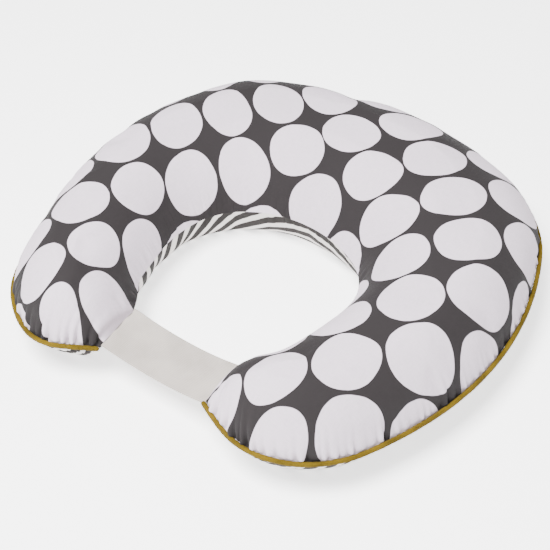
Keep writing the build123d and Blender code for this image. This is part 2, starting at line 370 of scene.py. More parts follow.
def run_cloth(cushion, held):
    """Places of the cushion's vertices after it is blown up as cloth, with the held ones fixed."""
    group = cushion.vertex_groups.new(name="held")
    group.add([int(index) for index in held], 1.0, "REPLACE")
    modifier = cushion.modifiers.new("Inflate", "CLOTH")
    cloth = modifier.settings
    cloth.quality = 6
    cloth.mass = 0.25
    cloth.air_damping = 3
    cloth.tension_stiffness = 20
    cloth.compression_stiffness = 20
    cloth.shear_stiffness = 8
    cloth.bending_stiffness = 0.35
    cloth.use_pressure = True
    cloth.uniform_pressure_force = PRESSURE
    cloth.shrink_min = -CLOTH_EXCESS
    cloth.vertex_group_mass = "held"
    cloth.effector_weights.gravity = 0
    modifier.collision_settings.use_collision = False
    modifier.point_cache.frame_start = 1
    modifier.point_cache.frame_end = SIM_FRAMES
    for step in range(1, SIM_FRAMES + 1):
        bpy.context.scene.frame_set(step)
    places = read_places(cushion.evaluated_get(bpy.context.evaluated_depsgraph_get()))
    cushion.modifiers.remove(modifier)
    cushion.vertex_groups.remove(group)
    bpy.context.scene.frame_set(1)
    return places


def smooth_moves(mesh, move, held):
    """Averages each vertex's move with its neighbours' a few times, except where it is held."""
    free = np.ones((len(move), 1), dtype=bool)
    free[held] = False
    ends = np.empty(len(mesh.edges) * 2, dtype=np.int32)
    mesh.edges.foreach_get("vertices", ends)
    first, second = ends.reshape(-1, 2).T
    neighbours = np.bincount(ends, minlength=len(move))[:, None]
    for _ in range(SMOOTH_PASSES):
        total = np.zeros_like(move)
        np.add.at(total, first, move[second])
        np.add.at(total, second, move[first])
        move = np.where(free, (move + total / neighbours) / 2, move)
    return move


def inflate(cushion, held):
    """Places of the cushion's vertices under pressure, after short, smooth, mostly outward moves."""
    start = read_places(cushion)
    move = run_cloth(cushion, held) - start
    length = norm(move, axis=1, keepdims=True)
    move *= np.minimum(1, MOVE_CAP / np.maximum(length, 1e-9))
    normals = read_vectors(cushion.data.vertex_normals)
    outward = (move * normals).sum(1, keepdims=True)
    move += normals * (np.maximum(outward, -SINK_CAP) - outward)
    return start + smooth_moves(cushion.data, move, held)


def subdivided(piece):
    """Replaces a piece's mesh by one level of smooth subdivision."""
    modifier = piece.modifiers.new("Smooth", "SUBSURF")
    modifier.levels = 1
    modifier.boundary_smooth = "PRESERVE_CORNERS"
    graph = bpy.context.evaluated_depsgraph_get()
    smooth = bpy.data.meshes.new_from_object(piece.evaluated_get(graph))
    piece.modifiers.clear()
    piece.data = smooth
    return piece


def store(piece, name, values):
    """Keeps a vector for every vertex, for the materials and for later steps to read."""
    attribute = piece.data.attributes.new(name, "FLOAT_VECTOR", "POINT")
    padded = np.zeros((len(values), 3))
    padded[:, : values.shape[1]] = values
    attribute.data.foreach_set("vector", padded.reshape(-1))


def place_vertices(piece, places):
    """Writes new vertex places into a piece's mesh."""
    piece.data.vertices.foreach_set("co", places.reshape(-1))
    piece.data.update()


def seam_coordinates(surface):
    """For each grid point: length along the outer seam, and lengths across to outside and waist."""
    along = lengths_along(surface[:, 0])
    along = along - along[len(along) // 2]
    across = norm(np.diff(surface, axis=1), axis=-1)
    across = np.concatenate([np.zeros((len(surface), 1)), np.cumsum(across, axis=1)], axis=1)
    along = np.repeat(along[:, None], surface.shape[1], axis=1)
    return np.stack([along, across, across[:, -1:] - across], -1)


def waves(values, sizes, seed):
    """Smooth seeded unevenness from -1 to 1 along a line, from a few sine waves."""
    rng = np.random.default_rng(seed)
    total = sum(np.sin(values * math.tau / size + rng.uniform(0, math.tau)) for size in sizes)
    return total / len(sizes)


def gather(panel, strength, side):
    """Puckers the cloth along both seams and dents it where the stuffing is uneven. Side is 1 over the
    seam's level, or -1 under it, and the cloth stays on its own side."""
    along, from_outside, from_waist = read_vectors(panel.data.attributes["seam"].data).T
    places, normals = read_places(panel), read_vectors(panel.data.vertex_normals)
    to_end = np.abs(along).max() - np.abs(along)
    tip = np.clip(1 - to_end / GATHER_TIP_REACH, 0, 1)
    lift = np.zeros(len(places))
    ends = smooth_step(*GATHER_END_FADE, to_end)
    for distance, seed, (pitch, size, tip_share) in (
        (from_outside, 5, OUTER_GATHER),
        (from_waist, 9, WAIST_GATHER),
    ):
        pull = tip_share * tip
        bend = along + 0.004 * waves(along, (0.031, 0.053, 0.094), seed)
        turns = bend * math.tau / pitch
        folds = 2 * np.abs(np.sin(turns / 2)) ** FOLD_SHARPNESS - FOLD_LEVEL
        folds = folds + 0.5 * np.sin(turns * 0.63 + 1)
        uneven = size * (0.75 + 0.5 * waves(along, (0.047, 0.081, 0.143), seed + 1) + pull)
        reach = GATHER_REACH * (1 + 0.35 * waves(along, (0.022, 0.037), seed + 2) + 0.6 * pull)
        fade = np.exp(-distance / reach) * smooth_step(0, GATHER_SEAM_FADE, distance) * ends
        lift += strength * GATHER_HEIGHT * folds * np.clip(uneven, SMALLEST_FOLD, None) * fade
    to_seam = np.minimum(from_outside, from_waist)
    away = np.clip(to_seam / LUMP_FADE, 0, 1)
    for index, place in enumerate(places):
        spot = Vector(place) / LUMP_SIZE
        lump = noise.noise(spot) + LUMP_DETAIL[0] * noise.noise(spot * LUMP_DETAIL[1])
        lift[index] += away[index] * LUMP_HEIGHT * lump
    places = places + normals * lift[:, None]
    apart = SIDE_GAP * np.clip(np.minimum(to_seam, to_end) / SIDE_GAP_FROM, 0, 1)
    level = np.clip(side * (places[:, 2] - SEAM_Z), apart, None)
    places[:, 2] = np.clip(SEAM_Z + side * level, FLOOR_Z, CREST_Z)
    place_vertices(panel, places)


def wall_frame(places):
    """For places near the back wall: angle round the back arc, and w and n across the zip."""
    x, y = places[:, 0], places[:, 1] - BACK_CENTRE_Y
    angle = np.degrees(np.arctan2(x, y))
    radial, level = np.hypot(x, y) - ZIP_RADIUS, places[:, 2] - ZIP_LEVEL
    return angle, radial * ZIP_COSINE + level * ZIP_SINE, radial * ZIP_SINE - level * ZIP_COSINE


def wall_places(angle, w, n):
    """Places on the back wall from an angle in degrees, w up the wall and n out of it."""
    angle, w, n = np.broadcast_arrays(np.radians(angle), w, n)
    radius = ZIP_RADIUS + w * ZIP_COSINE + n * ZIP_SINE
    level = ZIP_LEVEL + w * ZIP_SINE - n * ZIP_COSINE
    return np.stack([radius * np.sin(angle), BACK_CENTRE_Y + radius * np.cos(angle), level], -1)


def smooth_step(low, high, value):
    """Goes smoothly from 0 at low to 1 at high."""
    share = np.clip((value - low) / (high - low), 0, 1)
    return share * share * (3 - 2 * share)


def open_zip_window(panel):
    """Sinks the base cover behind the zip, with a folded edge of cloth on both sides of it."""
    places = read_places(panel)
    angle, w, n = wall_frame(places)
    half_height, half_angle, middle_angle = ZIP_AREA
    near = (np.abs(w) < half_height) & (np.abs(angle - middle_angle) < half_angle) & (places[:, 1] > 0)
    soft_w, soft_angle = ZIP_FOLD_SOFTNESS
    inside = 1 - smooth_step(ZIP_FOLD_W - soft_w, ZIP_FOLD_W + soft_w, np.abs(w))
    inside *= 1 - smooth_step(ZIP_FOLD_ANGLE - soft_angle, ZIP_FOLD_ANGLE + soft_angle, np.abs(angle))
    hem_place, hem_half_width, hem_height = ZIP_HEM
    hem = np.exp(-(((np.abs(w) - ZIP_FOLD_W - hem_place) / hem_half_width) ** 2)) * hem_height
    wanted = ZIP_FOLD_N + hem - inside * (ZIP_FOLD_N + ZIP_SINK)
    flatness = 1 - smooth_step(*ZIP_FLAT_W, np.abs(w))
    flatness *= 1 - smooth_step(*ZIP_FLAT_ANGLE, np.abs(angle))
    label = 1 - smooth_step(*LABEL_FLAT_ANGLE, np.abs(angle + LABEL_ANGLE))
    wanted = np.where(label > 0, np.minimum(n, 0.0), wanted)
    pull = np.where(near, np.maximum(flatness, label * (w < LABEL_FLAT_TOP)), 0)
    moved = wall_places(angle, w, n + (wanted - n) * pull)
    place_vertices(panel, np.where(near[:, None], moved, places))


def make_cushion():
    """The two panels of the stuffed cover, and the two bags inside, as separate pieces."""
    top_ids, base_ids, places, faces, top, base = build_shell()
    seam = np.unique(np.concatenate([top_ids[0], top_ids[-1], top_ids[:, 0], top_ids[:, -1]]))
    resting = base_ids[base[..., 2] < FLOOR_Z + RESTING_HEIGHT]
    shell = mesh_object("shell", places, faces)
    places = inflate(shell, np.union1d(seam, resting))
    places[:, 2] = np.maximum(places[:, 2], FLOOR_Z)
    place_vertices(shell, places)
    normals = read_vectors(shell.data.vertex_normals)
    side = np.where(np.arange(len(places)) < top_ids.size, 1, -1)
    side[seam] = 0
    bags = []
    for name, depth in BAG_DEPTHS:
        inner = places - normals * depth
        level = np.maximum(side * (inner[:, 2] - SEAM_Z), BAG_GAP)
        inner[:, 2] = np.maximum(SEAM_Z + side * level, FLOOR_Z + depth)
        bags.append(mesh_object(name, inner, faces))
    bpy.data.objects.remove(shell)
    panels = []
    for name, ids, surface in (("top_cover", top_ids, top), ("base_cover", base_ids, base)):
        local = np.arange(ids.size).reshape(ids.shape)
        panel = mesh_object(name, places[ids.reshape(-1)], grid_faces(local, name == "base_cover"))
        store(panel, "cloth", flat_pattern(surface).reshape(-1, 2))
        store(panel, "seam", seam_coordinates(surface).reshape(-1, 3))
        panels.append(subdivided(panel))
    seam_line = places[top_ids[:, 0]]
    return panels, bags, seam_line


def tube(name, line, radii):
    """A closed tube along a line, from radii as [ring, side]. Stores length along and share round it."""
    count, sides = radii.shape
    steps = np.gradient(line, axis=0)
    tangents = steps / norm(steps, axis=1, keepdims=True)
    side = np.cross(tangents, (0, 0, 1.0))
    side /= norm(side, axis=1, keepdims=True)
    upward = np.cross(side, tangents)
    angles = angles_round(sides)
    rings = (
        line[:, None]
        + side[:, None] * (radii * np.cos(angles))[..., None]
        + upward[:, None] * (radii * np.sin(angles))[..., None]
    )
    ids = np.arange(count * sides).reshape(count, sides)
    following = np.roll(ids, -1, axis=1)
    faces = np.stack([ids[:-1], ids[1:], following[1:], following[:-1]], -1).reshape(-1, 4).tolist()
    faces.append(ids[0].tolist())
    faces.append(ids[-1][::-1].tolist())
    piece = mesh_object(name, rings.reshape(-1, 3), faces)
    round_it = np.broadcast_to(angles / math.tau, (count, sides))
    lengths = np.repeat(lengths_along(line)[:, None], sides, axis=1)
    store(piece, "along", np.stack([lengths, round_it], -1).reshape(-1, 2))
    return piece


# Materials: every one is built from nodes. Cloth reads its own coordinates, the rest its place.
def paint(code):
    """Linear colour from a hex code such as d8d5d6."""
    parts = [int(code[i : i + 2], 16) / 255 for i in (0, 2, 4)]
    linear = [part / 12.92 if part < 0.04045 else ((part + 0.055) / 1.055) ** 2.4 for part in parts]
    return (*linear, 1.0)


def new_material(name, roughness, sheen=0.0, metallic=0.0, gloss=0.5):
    """A material with its even properties set on the shader's own sockets."""
    material = bpy.data.materials.new(name)
    material.use_nodes = True
    shader = material.node_tree.nodes["Principled BSDF"]
    for socket, value in (
        ("Roughness", roughness),
        ("Metallic", metallic),
        ("Sheen Weight", sheen),
        ("Sheen Roughness", 0.55),
        ("Specular IOR Level", gloss),
    ):
        shader.inputs[socket].default_value = value
    return material, material.node_tree, shader


def feed(tree, socket, value):
    """Links a socket to a node's output, or sets it to a number or colour."""
    if isinstance(value, bpy.types.NodeSocket):
        tree.links.new(value, socket)
    else:
        socket.default_value = value


def add_node(tree, kind, values=(), **settings):
    """A new shader node with its settings, and its first sockets fed in order."""
    node = tree.nodes.new("ShaderNode" + kind)
    for name, setting in settings.items():
        setattr(node, name, setting)
    for socket, value in zip(node.inputs, values):
        feed(tree, socket, value)
    return node


def calc(tree, operation, *values):
    """A Math node's output."""
    return add_node(tree, "Math", values, operation=operation).outputs[0]


def vector_calc(tree, operation, *values):
    """A Vector Math node's output vector."""
    return add_node(tree, "VectorMath", values, operation=operation).outputs["Vector"]


def blend_colours(tree, share, dark, light):
    """A mix of two colours, given as hex codes, by a share from 0 to 1."""
    node = add_node(tree, "Mix", (share,), data_type="RGBA")
    node.inputs[6].default_value = paint(dark)
    node.inputs[7].default_value = paint(light)
    return node.outputs[2]


def ramp(tree, value, low, high, start=0.0, end=1.0):
    """Maps a number smoothly from low..high to start..end."""
    values = (value, low, high, start, end)
    return add_node(tree, "MapRange", values, interpolation_type="SMOOTHSTEP").outputs[0]


def colour_by(tree, shader, share, dark, light):
    """Colours a material from dark to light by a share from 0 to 1."""
    tree.links.new(blend_colours(tree, share, dark, light), shader.inputs["Base Color"])


def unevenness(tree, place, scale, detail=2.0):
    """Noise from 0 to 1 at a scale per metre."""
    node = add_node(tree, "TexNoise", (place,))
    node.inputs["Scale"].default_value = scale
    node.inputs["Detail"].default_value = detail
    return node.outputs[0]


def attribute(tree, name):
    """A vector stored on the mesh."""
    return add_node(tree, "Attribute", attribute_name=name).outputs["Vector"]


def object_place(tree):
    """A point's place on the object, in metres."""
    return add_node(tree, "TexCoord").outputs["Object"]


def split(tree, vector):
    """The three numbers of a vector."""
    return tuple(add_node(tree, "SeparateXYZ", (vector,)).outputs)


def joined(tree, x, y, z=0.0):
    """A vector from three numbers."""
    return add_node(tree, "CombineXYZ", (x, y, z)).outputs[0]


def add_bump(tree, shader, height, distance, strength=1.0, over=None):
    """Bumps the surface by a height from 0 to 1 times a distance in metres."""
    node = add_node(tree, "Bump")
    node.inputs["Strength"].default_value = strength
    node.inputs["Distance"].default_value = distance
    tree.links.new(height, node.inputs["Height"])
    if over is not None:
        tree.links.new(over, node.inputs["Normal"])
    tree.links.new(node.outputs[0], shader.inputs["Normal"])
    return node.outputs[0]


def plain_weave(tree, x, y, pitch):
    """Height of a plain weave: threads that pass over and under each other in turn."""
    rate = math.tau / pitch
    across, along = (calc(tree, "SINE", calc(tree, "MULTIPLY", value, rate)) for value in (x, y))
    return calc(tree, "MULTIPLY_ADD", calc(tree, "MULTIPLY", across, along), 0.5, 0.5)


def ridges(tree, value, rate):
    """Height from 0 to 1 of rounded ridges, one for every pi of a value times a rate."""
    return calc(tree, "ABSOLUTE", calc(tree, "SINE", calc(tree, "MULTIPLY", value, rate)))


def finish_cotton(tree, shader, cloth, colour):
    """Gives a printed cotton its slubs, faint fading, soft wrinkles and weave."""
    x, y, _ = split(tree, cloth)
    slub_x = unevenness(tree, joined(tree, calc(tree, "MULTIPLY", x, 0.12), y), 900.0, 1.0)
    slub_y = unevenness(tree, joined(tree, x, calc(tree, "MULTIPLY", y, 0.12)), 900.0, 1.0)
    threads = calc(tree, "MULTIPLY", calc(tree, "ADD", slub_x, slub_y), 0.5)
    faded = unevenness(tree, cloth, 9.0, 3.0)
    thread_tone = ramp(tree, threads, 0.25, 0.75, 0.93, 1.05)
    tone = calc(tree, "ADD", thread_tone, ramp(tree, faded, 0.3, 0.7, -0.035, 0.025))
    bright = vector_calc(tree, "SCALE", colour)
    tree.links.new(tone, bright.node.inputs["Scale"])
    tree.links.new(bright, shader.inputs["Base Color"])
    wrinkles = unevenness(tree, cloth, 38.0, 4.0)
    soft = add_bump(tree, shader, wrinkles, 0.0018, 0.6)
    weave = plain_weave(tree, x, y, WEAVE_PITCH)
    add_bump(tree, shader, calc(tree, "MULTIPLY_ADD", threads, 0.7, weave), 0.00009, 0.5, over=soft)
    tree.links.new(ramp(tree, threads, 0.2, 0.8, 0.78, 0.92), shader.inputs["Roughness"])


# The printed pebbles: one in each cell of a slanted lattice, which the stuffed cloth bends a little.
# Cells are counted from the start along x and y, and the rest bends the rows as the cloth is eased
# round the C: DOT_BEND goes with x * y, DOT_CURL with x ** 3 and x * x * y, DOT_TWIST with x ** 3 * y.
WEAVE_PITCH = 0.00056
DOT_START = (-0.52, 0.34)
DOT_CELLS = ((10.4, 10.9), (11.8, -8.6))
DOT_BEND = (-15.0, -8.3)
DOT_CURL = ((-9.6, -30.5), (-15.0, 35.6))
DOT_TWIST = (196.0, -43.0)
DOT_RADIUS = 0.470
DOT_SQUARENESS = 2.2
DOT_SHIFT = 0.012
DOT_STRETCH = 0.035
DOT_EGG = 0.16
DOT_WOBBLE = (-0.006, 0.020)
DOT_BLUR = 0.005
STRIPE_PERIOD = 0.0165
CHARCOAL = "272425"
PEBBLE = "cbbfca"
STRIPE_DARK = "272423"
STRIPE_LIGHT = "cfc9c6"


def lattice_place(tree, x, y):
    """A place on the cloth, counted in cells of the bent lattice."""
    bend = calc(tree, "MULTIPLY", x, y)
    square = calc(tree, "MULTIPLY", x, x)
    terms = (x, y, bend, *(calc(tree, "MULTIPLY", square, value) for value in (x, y, bend)))
    counts = []
    for axis in (0, 1):
        count = DOT_START[axis] + 0.5
        shares = (*DOT_CELLS[axis], DOT_BEND[axis], *DOT_CURL[axis], DOT_TWIST[axis])
        for term, share in zip(terms, shares):
            count = calc(tree, "MULTIPLY_ADD", term, share, count)
        counts.append(count)
    return joined(tree, *counts)


def pebble_reach(tree, inside, cell):
    """How far a place in a cell is from its pebble's middle, shifted and shaped by chance."""
    chances = []
    for seed in ((3.0, 11.0, 5.0), (41.0, 7.0, 23.0)):
        place = vector_calc(tree, "ADD", cell, seed)
        chance = add_node(tree, "TexWhiteNoise", (place,), noise_dimensions="3D")
        chances.append(chance.outputs["Color"])
    shift = vector_calc(tree, "SUBTRACT", chances[0], (0.5, 0.5, 0.5))
    shift = vector_calc(tree, "MULTIPLY", shift, (DOT_SHIFT, DOT_SHIFT, 0.0))
    moved = vector_calc(tree, "SUBTRACT", inside, shift)
    turned = add_node(tree, "VectorRotate", (moved,), rotation_type="Z_AXIS")
    turn_share, stretch_share, egg_share = split(tree, chances[1])
    tree.links.new(calc(tree, "MULTIPLY", turn_share, math.pi), turned.inputs["Angle"])
    x, y, _ = split(tree, turned.outputs[0])
    stretch = calc(tree, "MULTIPLY_ADD", stretch_share, DOT_STRETCH, 1.0)
    egg = calc(tree, "MULTIPLY_ADD", egg_share, 2 * DOT_EGG, -DOT_EGG)
    narrow = calc(tree, "MULTIPLY_ADD", egg, x, 1.0)
    x = calc(tree, "ABSOLUTE", calc(tree, "DIVIDE", x, stretch))
    y = calc(tree, "ABSOLUTE", calc(tree, "MULTIPLY", y, calc(tree, "MULTIPLY", stretch, narrow)))
    powers = [calc(tree, "POWER", value, DOT_SQUARENESS) for value in (x, y)]
    return calc(tree, "POWER", calc(tree, "ADD", *powers), 1 / DOT_SQUARENESS)


def pebble_print():
    """Charcoal cotton with large off-white pebbles, no two quite alike."""
    material, tree, shader = new_material("pebble_cloth", 0.85, sheen=0.02, gloss=0.10)
    cloth = attribute(tree, "cloth")
    x, y, _ = split(tree, cloth)
    lattice = lattice_place(tree, x, y)
    cell = vector_calc(tree, "FLOOR", lattice)
    inside = vector_calc(tree, "SUBTRACT", lattice, vector_calc(tree, "ADD", cell, (0.5, 0.5, 0.0)))
    wobble = ramp(tree, unevenness(tree, cloth, 30.0), 0.0, 1.0, *DOT_WOBBLE)
    reach = calc(tree, "ADD", pebble_reach(tree, inside, cell), wobble)
    dot = ramp(tree, reach, DOT_RADIUS - DOT_BLUR, DOT_RADIUS + DOT_BLUR, 1.0, 0.0)
    finish_cotton(tree, shader, cloth, blend_colours(tree, dot, CHARCOAL, PEBBLE))
    return material


def stripe_print():
    """Cotton with narrow charcoal and cream stripes across the pillow."""
    material, tree, shader = new_material("stripe_cloth", 0.85, sheen=0.02, gloss=0.10)
    cloth = attribute(tree, "cloth")
    _, y, _ = split(tree, cloth)
    bend = ramp(tree, unevenness(tree, cloth, 22.0), 0.0, 1.0, -0.0011, 0.0011)
    phase = calc(tree, "FRACT", calc(tree, "DIVIDE", calc(tree, "ADD", y, bend), STRIPE_PERIOD))
    middle = calc(tree, "ABSOLUTE", calc(tree, "SUBTRACT", phase, 0.5))
    light = ramp(tree, middle, 0.265, 0.295)
    finish_cotton(tree, shader, cloth, blend_colours(tree, light, STRIPE_DARK, STRIPE_LIGHT))
    return material


def twill(name, dark, light, pitch, girth):
    """Cloth wound round a tube, with diagonal threads that follow its length."""
    material, tree, shader = new_material(name, 0.8, sheen=0.02, gloss=0.1)
    length, share, _ = split(tree, attribute(tree, "along"))
    diagonal = calc(tree, "DIVIDE", calc(tree, "MULTIPLY_ADD", share, girth, length), pitch)
    thread = ridges(tree, diagonal, math.pi)
    slub = unevenness(tree, joined(tree, length, calc(tree, "MULTIPLY", share, girth)), 420.0)
    patchy = unevenness(tree, joined(tree, length, 0.0), 26.0, 3.0)
    tone = calc(tree, "MULTIPLY_ADD", thread, 0.45, calc(tree, "MULTIPLY", slub, 0.5))
    tone = calc(tree, "ADD", tone, ramp(tree, patchy, 0.3, 0.7, -0.18, 0.18))
    colour_by(tree, shader, ramp(tree, tone, 0.1, 0.85), dark, light)
    add_bump(tree, shader, calc(tree, "MULTIPLY_ADD", slub, 0.4, thread), 0.00016, 0.8)
    return material


def woven_strip(name, dark, light, rib, cross, height=0.00018, roughness=0.75):
    """Narrow woven goods, with ribs along the strip and finer picks across it."""
    material, tree, shader = new_material(name, roughness, sheen=0.04, gloss=0.2)
    length, width, _ = split(tree, attribute(tree, "along"))
    ribs = ridges(tree, width, math.pi / rib)
    picks = ridges(tree, length, math.pi / cross)
    place = joined(tree, length, width)
    fuzz = unevenness(tree, place, 700.0)
    patchy = unevenness(tree, place, 24.0, 3.0)
    relief = calc(tree, "MULTIPLY_ADD", picks, 0.35, calc(tree, "MULTIPLY", ribs, 0.65))
    tone = calc(tree, "MULTIPLY_ADD", relief, 0.4, calc(tree, "MULTIPLY", fuzz, 0.3))
    tone = calc(tree, "ADD", tone, ramp(tree, patchy, 0.3, 0.7, 0.1, 0.35))
    colour_by(tree, shader, ramp(tree, tone, 0.2, 0.95), dark, light)
    add_bump(tree, shader, relief, height, 0.7)
    return material


def loose_fibre(name, dark, light, scale, height):
    """Soft goods with no visible thread, such as wadding, or plain cloth seen from afar."""
    material, tree, shader = new_material(name, 0.95, sheen=0.05, gloss=0.2)
    place = object_place(tree)
    clumps = unevenness(tree, place, scale, 5.0)
    colour_by(tree, shader, ramp(tree, clumps, 0.3, 0.7), dark, light)
    add_bump(tree, shader, clumps, height, 0.8)
    return material


def moulded(name, dark, light, scale, roughness, metallic=0.0, grain=0.00004):
    """Nylon or enamelled metal, with faint wear and handling marks."""
    material, tree, shader = new_material(name, roughness, metallic=metallic)
    place = object_place(tree)
    wear = unevenness(tree, place, scale, 5.0)
    marks = unevenness(tree, place, scale * 6, 3.0)
    colour_by(tree, shader, ramp(tree, wear, 0.35, 0.75), dark, light)
    worn = ramp(tree, marks, 0.3, 0.7, roughness - 0.08, roughness + 0.12)
    tree.links.new(worn, shader.inputs["Roughness"])
    add_bump(tree, shader, marks, grain, 0.6)
    return material


def finish(piece, material):
    """Puts one material on a piece."""
    piece.data.materials.clear()
    piece.data.materials.append(material)


# Pieces beside the cushion.

# Piping: sides of its tube, how far out its middle lies in radii, the pitch of its rings and how far
# it wanders up and down. Then its drag lines, as (pitch, share of the radius), and its unevenness.
PIPING_SIDES = 14
PIPING_STAND = 1.05
PIPING_RINGS = 0.0011
PIPING_WANDER = 0.00035
PIPING_DRAG = (0.0068, 0.035)
PIPING_UNEVENNESS = 0.045

# Elastic band, which is creased where it is sewn in, waves a little, and has thinner edges.
BAND_SAG = 0.0070
BAND_THICKNESS = 0.0012
BAND_NARROWING = 0.035
BAND_CREASE = 0.0009
BAND_CREASE_REACH = 0.12
BAND_WAVE = 0.0010
BAND_RIBS = 33
BAND_RIB_HEIGHT = 0.00007
BAND_EDGE = (0.94, 0.55)

# Zip: its tapes have a bead as (w, half width, height) where the coil is sewn on, and one turn of the
# coil is a loop of (w, n) that leans by a share of the pitch.
TAPE_EDGE = 0.0014
TAPE_WIDTH = 0.0125
TAPE_N = -0.0006
TAPE_BEAD = (0.0036, 0.0008, 0.0003)
TAPE_THICKNESS = 0.0007
COIL_PITCH = 0.0018
COIL_WIRE = 0.00036
COIL_LEAN = 0.16
COIL_RINGS = 11
COIL_TURN = (
    (0.0034, -0.0002), (0.0034, 0.0006), (0.0028, 0.0011), (0.0018, 0.0012), (0.0009, 0.0010),
    (0.0008, 0.0004), (0.0016, 0.0001), (0.0030, -0.0001),
)
WIRE_SIDES = 6

# Stitching: a box of stitches round the zip, past its stops and its fold.
STITCH_PITCH = 0.0032
STITCH_LENGTH = 0.0025
STITCH_RADIUS = 0.00030
STITCH_RINGS = 5
STITCHED_W = 0.0102
STITCHED_END_W = 0.0095
STITCHED_ANGLE = ZIP_STOP_ANGLE + 0.6

# Care label, which curls out towards its hem.
LABEL_WIDTH = 0.021
LABEL_TOP_W = 0.0215
LABEL_BOTTOM_W = -0.0080
LABEL_N = 0.0011
LABEL_CURL = 0.0030
LABEL_TWIST = 0.0005
LABEL_HEM = (0.90, 0.93, 0.00025)
LABEL_THICKNESS = 0.00045


def make_piping(seam_line):
    """The mustard piping: cloth over a cord, laid along the outside of the outer seam."""
    plan = seam_line[:, :2]
    plan = plan + normals_of(plan) * PIPING_RADIUS * PIPING_STAND
    line = np.column_stack([plan, np.full(len(plan), SEAM_Z)])
    length = norm(np.diff(line, axis=0), axis=1).sum()
    line = resample(line, np.linspace(0, 1, int(length / PIPING_RINGS)))
    along = np.linspace(0, length, len(line))
    line[:, 2] += PIPING_WANDER * waves(along, (0.033, 0.057, 0.091), 3)
    girth = angles_round(PIPING_SIDES)
    drag = PIPING_DRAG[1] * np.sin(along[:, None] * math.tau / PIPING_DRAG[0] + 2 * girth)
    uneven = PIPING_UNEVENNESS * waves(along, (0.021, 0.043, 0.077), 4)[:, None]
    radii = PIPING_RADIUS * (1 + drag + uneven)
    ends = np.minimum(along, length - along)
    radii = radii * np.sqrt(1 - (1 - np.clip(ends / PIPING_RADIUS, 0, 1)) ** 2 * 0.97)[:, None]
    return tube("piping", line, radii)


def slab(name, middle, across, normals, thickness, length_along):
    """A thin closed strip from a grid of middle points, its width coordinate and its normals."""
    count, width = middle.shape[:2]
    upper = middle + normals * thickness / 2
    lower = middle - normals * thickness / 2
    ids = np.arange(count * width).reshape(count, width)
    lower_ids = ids + count * width

    def quads(grid):
        return np.stack([grid[:-1, :-1], grid[1:, :-1], grid[1:, 1:], grid[:-1, 1:]], -1).reshape(-1, 4)

    faces = [quads(ids), quads(lower_ids)[:, ::-1]]
    rim = np.concatenate([ids[:, 0], ids[-1, 1:], ids[-2::-1, -1], ids[0, -2:0:-1]])
    rim_next = np.roll(rim, -1)
    faces.append(np.stack([rim, rim_next, rim_next + count * width, rim + count * width], -1)[:, ::-1])
    places = np.concatenate([upper.reshape(-1, 3), lower.reshape(-1, 3)])
    piece = mesh_object(name, places, np.concatenate(faces))
    turn_faces_out(piece)
    place = np.stack([length_along, across], -1).reshape(-1, 2)
    store(piece, "along", np.concatenate([place, place]))
    return piece


def grid_normals(middle):
    """Unit normals of a grid of points."""
    normals = np.cross(np.gradient(middle, axis=0), np.gradient(middle, axis=1))
    return normals / norm(normals, axis=-1, keepdims=True)


def make_band():
    """The elastic between the tips: a woven strip that sags and narrows a little in the middle."""
    half_length, half_width = BAND_HIGH.x, (BAND_HIGH.y - BAND_LOW.y) / 2
    middle_y = (BAND_HIGH.y + BAND_LOW.y) / 2
    u, v = np.meshgrid(np.linspace(-1, 1, 150), np.linspace(-1, 1, 67), indexing="ij")
    free = np.clip(1 - (u * half_length / TIP_X) ** 2, 0, 1)
    x = u * half_length
    y = middle_y + v * half_width * (1 - BAND_NARROWING * free)
    z = SEAM_Z - BAND_SAG * free
    crease = BAND_CREASE * np.exp(-(1 - np.abs(u)) / BAND_CREASE_REACH)
    z = z + crease * np.sin(v * 9 + 2 * np.sign(u)) + BAND_WAVE * free * np.sin(2.3 * v + 1.7 * u)
    z = z + BAND_RIB_HEIGHT * np.cos(v * math.pi * BAND_RIBS)
    middle = np.stack([x, y, z], -1)
    normals = grid_normals(middle)
    edge = 1 - BAND_EDGE[1] * smooth_step(BAND_EDGE[0], 1.0, np.abs(v))
    thickness = (BAND_THICKNESS * edge)[..., None]
    return slab("elastic", middle, v * half_width, normals, thickness, x)


def make_tape(name, side):
    """One zip tape: a woven strip with a thicker edge where the coil is sewn on."""
    round_it = np.linspace(-ZIP_STOP_ANGLE, ZIP_STOP_ANGLE, 240)
    angle, w = np.meshgrid(round_it, np.linspace(TAPE_EDGE, TAPE_WIDTH, 15), indexing="ij")
    bead_w, bead_half_width, bead_height = TAPE_BEAD
    n = TAPE_N + bead_height * np.exp(-(((w - bead_w) / bead_half_width) ** 2))
    middle = wall_places(angle, side * w, n)
    length = np.radians(angle) * ZIP_RADIUS
    return slab(name, middle, w, grid_normals(middle), TAPE_THICKNESS, length)


def wire_places(middle, first, second, radii):
    """Rings of vertices round a short wire, from two directions across it and a radius at each ring."""
    angles = angles_round(WIRE_SIDES)
    cosine, sine = np.cos(angles)[:, None], np.sin(angles)[:, None]
    ring = first[..., None, :] * cosine + second[..., None, :] * sine
    return (middle[:, None] + ring * radii[:, None, None]).reshape(-1, 3)


def wire_faces(number, rings):
    """Faces of one closed wire, by its number among wires of as many rings each."""
    ids = (number * rings + np.arange(rings))[:, None] * WIRE_SIDES + np.arange(WIRE_SIDES)
    following = np.roll(ids, -1, axis=1)
    walls = np.stack([ids[:-1], following[:-1], following[1:], ids[1:]], -1).reshape(-1, 4)
    return walls.tolist() + [ids[0][::-1].tolist(), ids[-1].tolist()]


